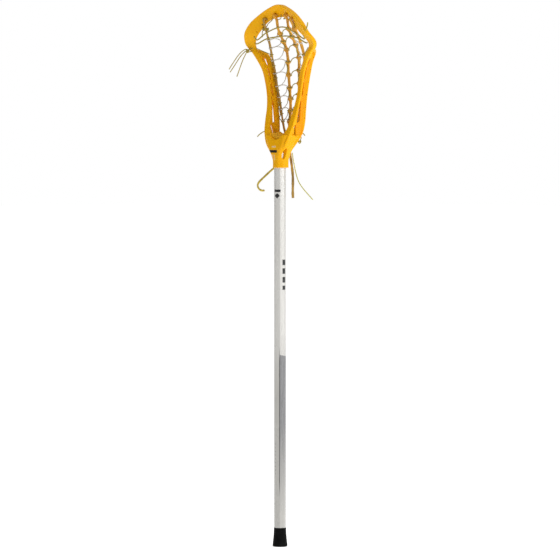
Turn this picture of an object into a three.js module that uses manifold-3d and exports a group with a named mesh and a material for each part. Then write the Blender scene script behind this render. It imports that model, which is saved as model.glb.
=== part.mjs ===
// A women's lacrosse stick with a traditional strung pocket: moulded head, octagonal shaft, rubber butt cap.
// Millimetres, +Z up the shaft, the head's open face towards -Y, the pocket hanging towards +Y.
import * as THREE from 'three';
import { mergeVertices } from 'three/addons/utils/BufferGeometryUtils.js';
import Module from 'manifold-3d';

const wasm = await Module();
wasm.setup();

// Driving dimensions
const SOCKET_Z = 764; // the head's lower edge; heights called h are counted from here
const SHAFT_FLATS = 22.2; // 7/8 inch across the flats
const SHAFT_WALL = 1.3;
const SHAFT_BOTTOM = 3.5;
const SHAFT_TOP_H = 52.5;
const GAP = 0.3; // between pieces that touch
const CAP_GAP = 0.2;
const CAP_HEIGHT = 38;
const SCREW_H = 24;
const SCREW_RADIUS = 2;
const SCREW_HEAD_RADIUS = 4;
const RAIL = { width: 7.5, depth: 6 };
const WEB = 5; // thickness of the sidewall between its two rails
const WEB_INSET = (RAIL.width - WEB) / 2; // the sidewall is flush with the rail's inner face
const THONG = { halfWidth: 2.6, halfDepth: 1.8 };
const LACE_RADIUS = 0.9;
const STRING_RADIUS = 1.1;
const TAIL_RADIUS = 1;
const THONG_TAIL = { radius: 1.7, halfDepth: 1.2 }; // the left tail has rolled up, the right one lies flat
const ROW_PITCH = 25; // between the rows of the pocket's lacing

const COLOUR = {
  nylon: { color: 0xeeb010, roughness: 0.38, metalness: 0 },
  paint: { color: 0xe6e4e1, roughness: 0.3, metalness: 0.2 },
  rubber: { color: 0x101010, roughness: 0.75, metalness: 0 },
  leather: { color: 0xc98a1c, roughness: 0.7, metalness: 0 },
  yellowLace: { color: 0xcfb01e, roughness: 0.8, metalness: 0 },
  whiteLace: { color: 0xd9d6cc, roughness: 0.8, metalness: 0 },
  foam: { color: 0xe0a024, roughness: 0.9, metalness: 0 },
  steel: { color: 0x9a9a98, roughness: 0.35, metalness: 1 },
};

const stick = new THREE.Group();
const headPlace = new THREE.Group();
headPlace.position.z = SOCKET_Z;
stick.add(headPlace);

function add(parent, name, geometry, look) {
  const mesh = new THREE.Mesh(geometry, new THREE.MeshStandardMaterial(look));
  mesh.name = name;
  parent.add(mesh);
}

// Solids

// A closed body through rings of points: each ring is convex and has as many points as the next.
function loft(rings) {
  const count = rings[0].length;
  const last = (rings.length - 1) * count;
  const index = [];
  for (let r = 0; r + 1 < rings.length; r++) {
    for (let i = 0; i < count; i++) {
      const a = r * count + i;
      const b = r * count + ((i + 1) % count);
      index.push(a, b, b + count, a, b + count, a + count);
    }
  }
  for (let i = 1; i + 1 < count; i++) {
    index.push(0, i + 1, i);
    index.push(last, last + i, last + i + 1);
  }
  const geometry = new THREE.BufferGeometry();
  const positions = rings.flat().flatMap((p) => [p.x, p.y, p.z]);
  geometry.setAttribute('position', new THREE.Float32BufferAttribute(positions, 3));
  geometry.setIndex(index);
  return faceOut(geometry);
}

// Turns the triangles over where they face inwards.
function faceOut(geometry) {
  const position = geometry.getAttribute('position');
  const index = geometry.getIndex();
  const corner = [new THREE.Vector3(), new THREE.Vector3(), new THREE.Vector3()];
  let volume = 0;
  for (let i = 0; i < index.count; i += 3) {
    corner.forEach((c, k) => c.fromBufferAttribute(position, index.getX(i + k)));
    volume += corner[0].dot(corner[1].clone().cross(corner[2]));
  }
  if (volume < 0) {
    for (let i = 0; i < index.count; i += 3) {
      const swapped = index.getX(i + 1);
      index.setX(i + 1, index.getX(i + 2));
      index.setX(i + 2, swapped);
    }
  }
  return geometry;
}

function toSolid(geometry) {
  const bare = geometry.clone();
  bare.deleteAttribute('normal');
  bare.deleteAttribute('uv');
  const merged = mergeVertices(bare, 1e-4);
  return new wasm.Manifold(new wasm.Mesh({
    numProp: 3,
    vertProperties: new Float32Array(merged.getAttribute('position').array),
    triVerts: new Uint32Array(merged.getIndex().array),
  }));
}

function toGeometry(solid) {
  const mesh = solid.getMesh();
  const geometry = new THREE.BufferGeometry();
  geometry.setAttribute('position', new THREE.BufferAttribute(mesh.vertProperties, 3));
  geometry.setIndex(new THREE.BufferAttribute(mesh.triVerts, 1));
  return geometry;
}

const point = (x, y, z) => new THREE.Vector3(x, y, z);
const mirrored = (p) => point(-p.x, p.y, p.z);
const smooth = (points) => new THREE.CatmullRomCurve3(points, false, 'centripetal');
const points3 = (rows) => rows.map((row) => point(...row));

// An upright ring of eight points: a rectangle with its corners cut off.
function chamferedRing(halfX, front, back, cut, z) {
  return [
    point(halfX, front + cut, z), point(halfX, back - cut, z),
    point(halfX - cut, back, z), point(-halfX + cut, back, z),
    point(-halfX, back - cut, z), point(-halfX, front + cut, z),
    point(-halfX + cut, front, z), point(halfX - cut, front, z),
  ];
}

// The shaft's octagon has its corners on the x and y axes and on the diagonals.
function octagonRing(flats, z) {
  const radius = flats / 2 / Math.cos(Math.PI / 8);
  return Array.from({ length: 8 }, (_, i) => {
    const angle = (i * Math.PI) / 4;
    return point(radius * Math.cos(angle), radius * Math.sin(angle), z);
  });
}

const octagonPrism = (flats, from, to) => loft([octagonRing(flats, from), octagonRing(flats, to)]);

// A cord: a tube along a smooth curve through the points.
function cord(points, radius, steps, sides = 8) {
  const section = new THREE.Shape();
  for (let i = 0; i < sides; i++) {
    const angle = (2 * Math.PI * i) / sides;
    const corner = [radius * Math.cos(angle), radius * Math.sin(angle)];
    if (i === 0) section.moveTo(...corner);
    else section.lineTo(...corner);
  }
  section.closePath();
  const path = smooth(points);
  const geometry = new THREE.ExtrudeGeometry(section, { steps, bevelEnabled: false, extrudePath: path });
  return geometry;
}

// A flat strap: eight-sided sections across the points, its width along X.
const STRAP_SECTION = chamferedRing(1, -1, 1, 0.6, 0);
function strap(points, halfWidth, halfDepth, steps) {
  const path = smooth(points);
  const across = point(1, 0, 0);
  const rings = [];
  for (let i = 0; i <= steps; i++) {
    const place = path.getPoint(i / steps);
    const along = path.getTangent(i / steps);
    const side = across.clone().addScaledVector(along, -across.dot(along)).normalize();
    const depth = along.clone().cross(side);
    rings.push(STRAP_SECTION.map((corner) => place.clone()
      .addScaledVector(side, corner.x * halfWidth)
      .addScaledVector(depth, corner.y * halfDepth)));
  }
  return loft(rings);
}

// Shaft and butt cap

// A hole along Y for the screw's shank, in the head's own heights.
function shankHole(from, to) {
  const hole = new THREE.CylinderGeometry(SCREW_RADIUS + GAP, SCREW_RADIUS + GAP, to - from, 16);
  hole.translate(0, (from + to) / 2, SCREW_H);
  return hole;
}

const screwHole = shankHole(4, 24);
screwHole.translate(0, 0, SOCKET_Z);

const shaftTop = SOCKET_Z + SHAFT_TOP_H;
const shaftSolid = toSolid(octagonPrism(SHAFT_FLATS, SHAFT_BOTTOM, shaftTop))
  .subtract(toSolid(octagonPrism(SHAFT_FLATS - 2 * SHAFT_WALL, SHAFT_BOTTOM - 1, shaftTop + 1)))
  .subtract(toSolid(screwHole));
add(stick, 'shaft_tube', toGeometry(shaftSolid), COLOUR.paint);

// The cap's width across the flats at each height: it flares towards its foot.
const capRings = [[27.6, 0], [28.8, 1], [28.8, 4], [27.6, 9], [25.2, 20], [24, 30], [23.7, CAP_HEIGHT]];
const capSolid = toSolid(loft(capRings.map(([flats, z]) => octagonRing(flats, z))))
  .subtract(toSolid(octagonPrism(SHAFT_FLATS + 2 * CAP_GAP, SHAFT_BOTTOM - GAP, CAP_HEIGHT + 1)));
add(stick, 'butt_cap', toGeometry(capSolid), COLOUR.rubber);

// Head frame, in the head's own heights

// Half of the face band, from the scoop's top round the shoulder to the throat: its outer edge and
// its inner edge (x, y, h), and how far each edge goes back from the face.
const BAND = [
  { outer: [0, -10, 328], inner: [0, 12, 303], deep: [16, 5] },
  { outer: [24, -11, 321], inner: [18, 9, 302], deep: [15, 5] },
  { outer: [49, -13, 308], inner: [34, 1, 295], deep: [14, 5] },
  { outer: [73, -16.5, 290], inner: [52, -4, 277], deep: [13, 5] },
  { outer: [87.5, -16, 272], inner: [67, -2, 263], deep: [12, 5] },
  { outer: [95.8, -8, 258], inner: [74.5, 2, 253], deep: [12, 5.5] },
  { outer: [97, -3, 249], inner: [76.5, 4, 246], deep: [11, 6] },
  { outer: [92, 1, 240], inner: [74, 4.5, 239], deep: [10, 6.5] },
  { outer: [83, 2.5, 231.5], inner: [67, 4.5, 231], deep: [8.5, 6.5] },
  { outer: [71.5, 5, 216], inner: [58, 6, 215], deep: [7, 6] },
  { outer: [60.5, 7.8, 197], inner: [49, 8, 196], deep: [6, 5] },
  { outer: [53, 9.3, 171], inner: [42, 9.5, 171], deep: [5.5, 5] },
  { outer: [48, 9, 145], inner: [37, 9, 145], deep: [5.5, 5] },
  { outer: [44.5, 5.3, 121], inner: [32.5, 5.5, 121], deep: [5.5, 5] },
  { outer: [42.5, -1, 97], inner: [28, -1, 97], deep: [6, 5] },
  { outer: [38, -8, 73], inner: [20, -8, 72], deep: [8, 7] },
  { outer: [29, -12.5, 49], inner: [12, -12.5, 50], deep: [9, 8] },
  { outer: [17.5, -11.5, 30], inner: [6, -11.5, 31], deep: [8, 7] },
];
const BAND_CHAMFER = 1.3;
const RAIL_CHAMFER = 1.2;

// The string rail at the back of the right sidewall; its lower end is the fin beside the socket.
const RAIL_PATH = [
  [87, 3, 239], [79, 17, 235], [70, 27, 230.5], [64, 30.5, 225], [58, 31, 214], [52, 31, 193],
  [46.3, 31, 169], [41.5, 31, 143], [38.2, 31, 117], [35.6, 31, 92], [32.5, 27.5, 71], [27, 17.5, 52],
  [18, 11.8, 37], [13, 9.5, 24], [9.5, 7.5, 10],
];

// The right sidewall's web: where it meets the face band and where it meets the rail.
const WEB_STATIONS = [
  { front: [76, 7, 235], back: [67, 29, 231] },
  { front: [63, 9, 215], back: [58, 31, 214] },
  { front: [54, 11.5, 197], back: [53, 31, 197] },
  { front: [47, 13, 171], back: [46.6, 31, 171] },
  { front: [42.5, 12.5, 145], back: [41.8, 31, 145] },
  { front: [39, 9, 121], back: [38.6, 31, 121] },
  { front: [36.5, 3, 97], back: [36, 31, 97] },
  { front: [32, -3, 74], back: [32.6, 28, 73] },
  { front: [26, -8, 54], back: [26, 17, 52] },
];

// Openings through both sidewalls: corners in y and h.
const SLOT_CHAMFER = 3;
const SLOTS = [
  [[16.5, 221], [21.5, 220], [22.5, 208], [18, 205]],
  [[16, 201], [19.5, 202], [21, 181], [17.5, 177]],
  [[17, 171], [20, 172], [21.5, 147], [18, 143]],
  [[15.5, 134], [18.5, 136], [19.5, 93], [11.5, 90]],
  [[4.5, 86], [9, 87], [13, 66], [9.5, 62]],
];

// The throat, from the socket up to the ball stop: half width, front, back and corner cut at each h.
const SOCKET_HALF = 15.8;
const THROAT = [
  { h: 0, half: SOCKET_HALF, front: -13.8, back: 17.8, cut: 9.2 },
  { h: 13, half: SOCKET_HALF, front: -13.8, back: 17.8, cut: 9.2 },
  { h: 21, half: 17, front: -14.8, back: 18, cut: 9 },
  { h: 30, half: 20, front: -15.8, back: 18, cut: 8.5 },
  { h: 38, half: 24, front: -16.5, back: 18.3, cut: 8 },
  { h: 46, half: 27.5, front: -16, back: 19.8, cut: 8 },
  { h: 54, half: 30.5, front: -15, back: 22.5, cut: 8 },
  { h: 66, half: 35, front: -13.6, back: 29, cut: 8 },
];

// A scooped window in each flank of the socket, through which the shaft shows.
const WINDOW = { centre: [19, -5.5, 28], radii: [12, 4.2, 12] };

// The pocket side of the ball stop: ellipses round one height, drawn in from the face to the back.
const STOP = {
  centre: 100,
  face: { y: -20, half: 28.4, drop: 45 },
  back: { y: 36, half: 31.8, drop: 33.5 },
};

function stopEllipse(y) {
  const t = (y - STOP.face.y) / (STOP.back.y - STOP.face.y);
  return {
    half: THREE.MathUtils.lerp(STOP.face.half, STOP.back.half, t),
    drop: THREE.MathUtils.lerp(STOP.face.drop, STOP.back.drop, t),
  };
}

function stopFloor(x, y) {
  const { half, drop } = stopEllipse(y);
  return STOP.centre - drop * Math.sqrt(1 - (x / half) ** 2);
}

// Cuts a quadrilateral's corners, so that it has eight points; no cut takes over 0.4 of a side.
function chamfered(corners, cut) {
  return corners.flatMap((corner, i) => {
    const before = corners[(i + corners.length - 1) % corners.length];
    const after = corners[(i + 1) % corners.length];
    const toward = (other) => corner.clone().lerp(other, Math.min(0.4, cut / corner.distanceTo(other)));
    return [toward(before), toward(after)];
  });
}

function bandGeometry() {
  const left = BAND.slice(1).reverse();
  const edge = (key) =>
    smooth([...left.map((s) => mirrored(point(...s[key]))), ...BAND.map((s) => point(...s[key]))]);
  const [outer, inner] = [edge('outer'), edge('inner')];
  const stations = [...left, ...BAND];
  const deep = new THREE.CatmullRomCurve3(stations.map((s) => point(...s.deep, 0)), false, 'catmullrom');
  const steps = (stations.length - 1) * 2;
  const rings = [];
  for (let i = 0; i <= steps; i++) {
    const o = outer.getPoint(i / steps);
    const n = inner.getPoint(i / steps);
    const d = deep.getPoint(i / steps);
    const corners = [o, point(o.x, o.y + d.x, o.z), point(n.x, n.y + d.y, n.z), n];
    rings.push(chamfered(corners, BAND_CHAMFER));
  }
  return loft(rings);
}

function railGeometry(side) {
  const path = smooth(RAIL_PATH.map(([x, y, z]) => point(side * x, y, z)));
  const steps = 36;
  const rings = [];
  for (let i = 0; i <= steps; i++) {
    const place = path.getPoint(i / steps);
    const along = path.getTangent(i / steps);
    const wide = point(1, 0, 0).addScaledVector(along, -along.x).normalize();
    const deep = along.clone().cross(wide);
    const corners = [[1, 1], [-1, 1], [-1, -1], [1, -1]].map(([u, v]) => place.clone()
      .addScaledVector(wide, (u * RAIL.width) / 2)
      .addScaledVector(deep, (v * RAIL.depth) / 2));
    rings.push(chamfered(corners, RAIL_CHAMFER));
  }
  return loft(rings);
}

function webGeometry(side) {
  const edge = (key) =>
    smooth(WEB_STATIONS.map((s) => point(side * (s[key][0] - WEB_INSET), s[key][1], s[key][2])));
  const [front, back] = [edge('front'), edge('back')];
  const steps = (WEB_STATIONS.length - 1) * 2;
  const rings = [];
  for (let i = 0; i <= steps; i++) {
    const f = front.getPoint(i / steps);
    const b = back.getPoint(i / steps);
    rings.push([
      point(f.x - WEB / 2, f.y, f.z), point(f.x + WEB / 2, f.y, f.z),
      point(b.x + WEB / 2, b.y, b.z), point(b.x - WEB / 2, b.y, b.z),
    ]);
  }
  return loft(rings);
}

function slotGeometry(corners) {
  const outline = chamfered(corners.map(([y, h]) => point(y, h, 0)), SLOT_CHAMFER);
  const shape = new THREE.Shape(outline.map((p) => new THREE.Vector2(p.x, p.y)));
  const length = 240;
  const geometry = new THREE.ExtrudeGeometry(shape, { depth: length, bevelEnabled: false });
  geometry.translate(0, 0, -length / 2);
  // The outline's two axes become y and h, and the extrusion runs along x.
  geometry.applyMatrix4(new THREE.Matrix4().makeBasis(point(0, 1, 0), point(0, 0, 1), point(1, 0, 0)));
  return geometry;
}

function stopGeometry() {
  const sides = 48;
  const rings = [STOP.face.y, STOP.back.y].map((y) => {
    const { half, drop } = stopEllipse(y);
    return Array.from({ length: sides }, (_, i) => {
      const angle = (2 * Math.PI * i) / sides;
      return point(half * Math.sin(angle), y, STOP.centre - drop * Math.cos(angle));
    });
  });
  return loft(rings);
}

function headSolid() {
  const throat = loft(THROAT.map((s) => chamferedRing(s.half, s.front, s.back, s.cut, s.h)));
  let solid = toSolid(bandGeometry()).add(toSolid(throat));
  for (const side of [-1, 1]) {
    solid = solid.add(toSolid(railGeometry(side))).add(toSolid(webGeometry(side)));
  }
  for (const corners of SLOTS) solid = solid.subtract(toSolid(slotGeometry(corners)));
  solid = solid.subtract(toSolid(stopGeometry()));
  solid = solid.subtract(toSolid(octagonPrism(SHAFT_FLATS + 2 * GAP, -5, SHAFT_TOP_H + GAP)));
  const sink = new THREE.CylinderGeometry(SCREW_HEAD_RADIUS + 3 * GAP, SCREW_RADIUS + GAP, 3, 16);
  sink.translate(0, 17, SCREW_H);
  solid = solid.subtract(toSolid(sink)).subtract(toSolid(shankHole(7, 19)));
  for (const side of [-1, 1]) {
    const window = new THREE.SphereGeometry(1, 16, 12);
    window.scale(...WINDOW.radii);
    window.translate(side * WINDOW.centre[0], WINDOW.centre[1], WINDOW.centre[2]);
    solid = solid.subtract(toSolid(window));
  }
  return solid;
}
add(headPlace, 'head_frame', toGeometry(headSolid()), COLOUR.nylon);

const screwProfile = [[0, -10.5], [SCREW_RADIUS, -9.5], [SCREW_RADIUS, -2.6], [SCREW_HEAD_RADIUS, -0.4],
  [SCREW_HEAD_RADIUS, 0], [0, 0]].map(([x, y]) => new THREE.Vector2(x, y));
const screw = new THREE.LatheGeometry(screwProfile, 16);
screw.translate(0, 17.9, SCREW_H);
add(headPlace, 'head_screw', screw, COLOUR.steel);

// The foam pad lies on the ball stop.
function padGeometry() {
  const pad = { front: -8, back: 19, half: 17, thick: 4.5, lift: 0.5 };
  const steps = 12;
  const rings = [];
  for (let i = 0; i <= steps; i++) {
    const x = THREE.MathUtils.lerp(-pad.half, pad.half, i / steps);
    const low = (y) => stopFloor(x, y) + pad.lift;
    rings.push([
      point(x, pad.front, low(pad.front)), point(x, pad.back, low(pad.back)),
      point(x, pad.back, low(pad.back) + pad.thick), point(x, pad.front, low(pad.front) + pad.thick),
    ]);
  }
  return loft(rings);
}
add(headPlace, 'ball_stop_pad', padGeometry(), COLOUR.foam);

// Pocket: four thongs, the lacing between them, the strings at the sidewalls and the scoop

const OUTER_THONG = [
  [37, -0.5, 288], [41, 6, 272], [44.5, 15.5, 248], [45.5, 23.5, 222], [43.5, 27, 202], [37, 28, 169],
  [31, 30, 137], [25, 30.5, 105], [20.5, 32, 80], [17.5, 33, 68], [13.5, 28.5, 55], [10.5, 23.5, 43],
];
const INNER_THONG = [
  [15, 6, 299], [15, 10, 279], [15.2, 20, 262], [15.4, 32, 243], [15.6, 38, 222], [15, 39.5, 190],
  [13.5, 41, 161], [12, 42, 138], [11.2, 41, 112], [9.5, 36, 84], [8, 33, 68], [6, 28.5, 55],
  [4.6, 23.5, 43],
];
const SIDES = [['left', -1], ['right', 1]];

for (const [word, side] of SIDES) {
  for (const [lane, rows] of [['outer', OUTER_THONG], ['inner', INNER_THONG]]) {
    const path = rows.map(([x, y, h]) => point(side * x, y, h));
    const thong = strap(path, THONG.halfWidth, THONG.halfDepth, 28);
    add(headPlace, `runner_${word}_${lane}`, thong, COLOUR.leather);
  }
}

// Where a thong or rail is at a height.
function placeAt(rows, h) {
  const i = Math.max(1, rows.findIndex((row) => row[2] <= h));
  const [above, below] = [rows[i - 1], rows[i]];
  const t = (above[2] - h) / (above[2] - below[2]);
  return point(THREE.MathUtils.lerp(above[0], below[0], t), THREE.MathUtils.lerp(above[1], below[1], t), h);
}

// A lace that goes to and fro between two uprights, clear of both.
function lacing(left, right, top, rows, clearLeft, clearRight) {
  const points = [];
  for (let i = 0; i <= 2 * rows; i++) {
    const h = top - (i * ROW_PITCH) / 2;
    const [a, b] = [left(h), right(h)];
    const from = i % 2 === 0 ? a : b;
    const shift = i % 2 === 0 ? clearLeft : -clearRight;
    points.push(point(from.x + shift, from.y, h));
  }
  return cord(points, LACE_RADIUS, rows * 6, 6);
}

const clearThong = THONG.halfWidth + LACE_RADIUS + 0.7;
const clearRail = RAIL.width / 2 + LACE_RADIUS + 0.8;
const inner = (side) => (h) => placeAt(INNER_THONG, h).multiply(point(side, 1, 1));
const outer = (side) => (h) => placeAt(OUTER_THONG, h).multiply(point(side, 1, 1));
const rail = (side) => (h) => placeAt(RAIL_PATH, h).multiply(point(side, 1, 1));

const CROSS = { top: 268, rows: 7 };
const SIDE = { top: 217, rows: 5 };

function crosslace(name, left, right, look) {
  add(headPlace, name, lacing(left, right, CROSS.top, CROSS.rows, clearThong, clearThong), look);
}
crosslace('crosslace_left', outer(-1), inner(-1), COLOUR.whiteLace);
crosslace('crosslace_middle', inner(-1), inner(1), COLOUR.yellowLace);
crosslace('crosslace_right', inner(1), outer(1), COLOUR.whiteLace);

const leftSide = lacing(rail(-1), outer(-1), SIDE.top, SIDE.rows, clearRail, clearThong);
const rightSide = lacing(outer(1), rail(1), SIDE.top, SIDE.rows, clearThong, clearRail);
add(headPlace, 'sidewall_string_left', leftSide, COLOUR.yellowLace);
add(headPlace, 'sidewall_string_right', rightSide, COLOUR.yellowLace);

// The top string lies behind the scoop's inner edge.
const TOP_STRING = [
  [-48, 4.5, 285], [-33, 9.5, 298], [-18, 17, 305], [0, 20, 306], [18, 17, 305], [33, 9.5, 298],
  [48, 4.5, 285],
];
// Two shooting strings cross in front of the thongs.
const UPPER_STRING = [
  [-68, 1, 258], [-42, 1, 271], [-15, 4.5, 281], [0, 5, 283], [15, 4.5, 281], [42, 1, 271], [68, 1, 258],
];
const LOWER_STRING = [
  [-70, 4, 250], [-44, 6.5, 260], [-15, 13, 264], [0, 14, 265], [15, 13, 264], [44, 6.5, 260], [70, 4, 250],
];
// The bottom lace holds the thongs behind the throat.
const BOTTOM_LACE = [
  [-27, 31, 62], [-17, 36.2, 66], [-8, 36.8, 67], [0, 36.8, 66.5], [8, 36.8, 67], [17, 36.2, 66],
  [27, 31, 62],
];
function string(name, rows) {
  add(headPlace, name, cord(points3(rows), STRING_RADIUS, 32, 6), COLOUR.yellowLace);
}

string('top_string', TOP_STRING);
string('shooting_string_upper', UPPER_STRING);
string('shooting_string_lower', LOWER_STRING);
string('bottom_lace', BOTTOM_LACE);

// Knots and loose ends

function knot(name, [x, y, h], radius) {
  const ball = new THREE.SphereGeometry(radius, 12, 8);
  ball.translate(x, y, h);
  add(headPlace, name, ball, COLOUR.yellowLace);
}
knot('shoulder_knot_left', [-88, -3, 236], 3.4);
knot('low_knot_right', [28.5, 27.2, 52], 3.6);

const SHOULDER_UPPER = [
  [-91.5, -6, 239.5], [-93.5, -7.4, 238.6], [-95.7, -8.8, 237.2], [-98, -10.2, 235.3], [-100.3, -11.6, 233],
  [-102.6, -12.9, 230.4], [-104.9, -14.1, 227.5], [-107.1, -15.3, 224.4], [-109.3, -16.4, 221.1],
  [-111.5, -17.5, 217.7], [-113.7, -18.6, 214.2], [-115.9, -19.7, 210.6], [-118.1, -20.8, 207],
  [-120.5, -21.9, 203.2], [-123, -23, 199],
];
const SHOULDER_MIDDLE = [
  [-92.5, -6, 235.5], [-94.6, -6.7, 233.9], [-96.7, -7.6, 232], [-98.8, -8.6, 229.8], [-100.8, -9.7, 227.3],
  [-102.7, -10.9, 224.5], [-104.6, -12.1, 221.5], [-106.4, -13.3, 218.3], [-108.3, -14.4, 215],
  [-110.2, -15.5, 211.7], [-112.1, -16.6, 208.3], [-114.1, -17.8, 204.8], [-116.2, -19.1, 201.2],
  [-118.5, -20.5, 197.3], [-121, -22, 193],
];
const SHOULDER_LOWER = [
  [-91, -6, 231.5], [-92.2, -6.9, 228.4], [-93.5, -7.8, 225.3], [-94.9, -8.6, 222.1], [-96.3, -9.3, 218.8],
  [-97.7, -9.9, 215.5], [-99, -10.5, 212.1], [-100.2, -11.1, 208.7], [-101.4, -11.7, 205.3],
  [-102.5, -12.3, 201.9], [-103.5, -12.9, 198.4], [-104.6, -13.5, 194.9], [-105.7, -14.1, 191.4],
  [-106.8, -14.8, 187.8], [-108, -15.5, 184],
];
const RIGHT_LACE = [
  [13, 21.8, 30], [13.7, 22.1, 25], [14.5, 22.5, 19.5], [15.4, 22.9, 14], [16.5, 23.4, 8], [17.6, 24, 1.5],
  [18.8, 24.6, -5], [20.2, 25.3, -11.5], [22, 26, -18], [24.2, 26.9, -24.5], [27.2, 28, -30.8],
  [31.5, 29.3, -37], [37, 30.8, -43.5], [43.5, 32.3, -50.2], [50.5, 33.8, -57], [58, 35, -64],
];
const LEFT_THONG = [
  [-11, 21.5, 30], [-12.8, 21.3, 25.2], [-15.2, 20.9, 19.6], [-18.2, 19.9, 13.6], [-22.2, 17.8, 7.6],
  [-27.5, 15, 1.8], [-33.5, 11.9, -3.4], [-38.5, 8.8, -8.5], [-43.5, 6, -13.7], [-48.5, 3.4, -18.8],
  [-53.5, 1.2, -23.6], [-58.5, -0.5, -28.6], [-62.2, -1.2, -34.2], [-62.2, -0.6, -40], [-58.3, 0.8, -44.6],
  [-53, 2.1, -46.4], [-48, 3, -46],
];
const RIGHT_THONG = [
  [5.6, 22, 36], [6.1, 22.2, 31.5], [6.7, 22.5, 26.5], [7.4, 22.8, 21.5], [8.2, 23.1, 16], [9, 23.5, 10],
  [9.8, 23.9, 3.5], [10.6, 24.3, -3.5], [11.3, 24.6, -11], [11.8, 24.7, -18.5], [12.1, 24.6, -26],
  [12.2, 24.5, -33.5], [12.1, 24.4, -41], [12, 24.4, -48], [12.1, 24.5, -54.7], [12.4, 24.7, -61],
];
const tail = (name, rows, radius, look) => add(headPlace, name, cord(points3(rows), radius, 24), look);

tail('shoulder_tail_upper', SHOULDER_UPPER, TAIL_RADIUS, COLOUR.yellowLace);
tail('shoulder_tail_middle', SHOULDER_MIDDLE, TAIL_RADIUS, COLOUR.yellowLace);
tail('shoulder_tail_lower', SHOULDER_LOWER, TAIL_RADIUS, COLOUR.yellowLace);
tail('right_lace_tail', RIGHT_LACE, STRING_RADIUS, COLOUR.yellowLace);
tail('left_thong_tail', LEFT_THONG, THONG_TAIL.radius, COLOUR.leather);
const rightThong = strap(points3(RIGHT_THONG), THONG.halfWidth, THONG_TAIL.halfDepth, 24);
add(headPlace, 'right_thong_tail', rightThong, COLOUR.leather);

export default stick;
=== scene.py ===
"""Blender looks for a women's lacrosse stick: a moulded yellow head with a traditional laced pocket, a white
octagonal shaft with printed marks, and a black rubber butt cap. Shapes are in millimetres until a mesh is
made; the camera, the stage and the materials are in metres."""
import math

import bmesh
import bpy
import numpy as np
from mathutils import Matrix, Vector


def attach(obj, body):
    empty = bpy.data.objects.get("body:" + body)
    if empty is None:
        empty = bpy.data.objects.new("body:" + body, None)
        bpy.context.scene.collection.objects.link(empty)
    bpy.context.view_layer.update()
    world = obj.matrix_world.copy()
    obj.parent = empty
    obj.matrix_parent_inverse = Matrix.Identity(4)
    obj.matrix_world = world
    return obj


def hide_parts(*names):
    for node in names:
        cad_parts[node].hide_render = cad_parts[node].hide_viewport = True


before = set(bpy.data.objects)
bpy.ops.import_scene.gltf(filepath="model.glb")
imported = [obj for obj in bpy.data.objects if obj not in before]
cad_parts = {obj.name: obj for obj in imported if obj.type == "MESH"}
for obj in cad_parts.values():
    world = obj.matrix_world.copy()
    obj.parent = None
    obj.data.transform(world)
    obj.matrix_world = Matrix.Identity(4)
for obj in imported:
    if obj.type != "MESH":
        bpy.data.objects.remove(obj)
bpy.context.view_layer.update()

MM = 0.001  # metres in a millimetre
SOCKET_Z = 764  # the head's lower edge; heights called h are counted from here
BODY, CAP = "stick", "cap"
SIDE_WORDS = {-1: "left", 1: "right"}


# Camera and stage

VIEW_AZIMUTH, VIEW_ELEVATION = math.radians(45), math.radians(2)
VIEW_DISTANCE, VIEW_HEIGHT, VIEW_WIDTH = 8.5, 0.538, 1.128
SENSOR_WIDTH = 36
KEY_LIGHT = ((4.2, 0.5, 2.0), (1.6, 2.6), 100)  # place, size and power
TOP_LIGHT = ((-0.8, -1.0, 4.5), (2.5, 2.5), 45)
LIGHT_AIM = Vector((0, 0, 0.7))
SKY_LIGHT = (0.16, 0.50)  # the sky's light from the camera's left and from its right
BACKDROP_LIGHT, FLOOR_GLOW = 1.0, 0.80
FLOOR_SIZE, FLOOR_DROP = 30, 0.0005
WHITE = (1, 1, 1, 1)


def make_camera():
    data = bpy.data.cameras.new("camera")
    camera = bpy.data.objects.new("camera", data)
    bpy.context.scene.collection.objects.link(camera)
    back = Vector((
        math.sin(VIEW_AZIMUTH) * math.cos(VIEW_ELEVATION),
        -math.cos(VIEW_AZIMUTH) * math.cos(VIEW_ELEVATION),
        math.sin(VIEW_ELEVATION),
    ))
    camera.location = Vector((0, 0, VIEW_HEIGHT)) + back * VIEW_DISTANCE
    camera.rotation_mode = "QUATERNION"
    camera.rotation_quaternion = (-back).to_track_quat("-Z", "Y")
    data.sensor_width = SENSOR_WIDTH
    data.lens = SENSOR_WIDTH * VIEW_DISTANCE / VIEW_WIDTH
    data.clip_end = 200
    bpy.context.scene.camera = camera


def area_light(name, place, size, power):
    data = bpy.data.lights.new(name, "AREA")
    data.shape = "RECTANGLE"
    data.size, data.size_y = size
    data.energy = power
    lamp = bpy.data.objects.new(name, data)
    lamp.location = place
    lamp.rotation_mode = "QUATERNION"
    lamp.rotation_quaternion = (LIGHT_AIM - Vector(place)).to_track_quat("-Z", "Y")
    bpy.context.scene.collection.objects.link(lamp)


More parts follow.
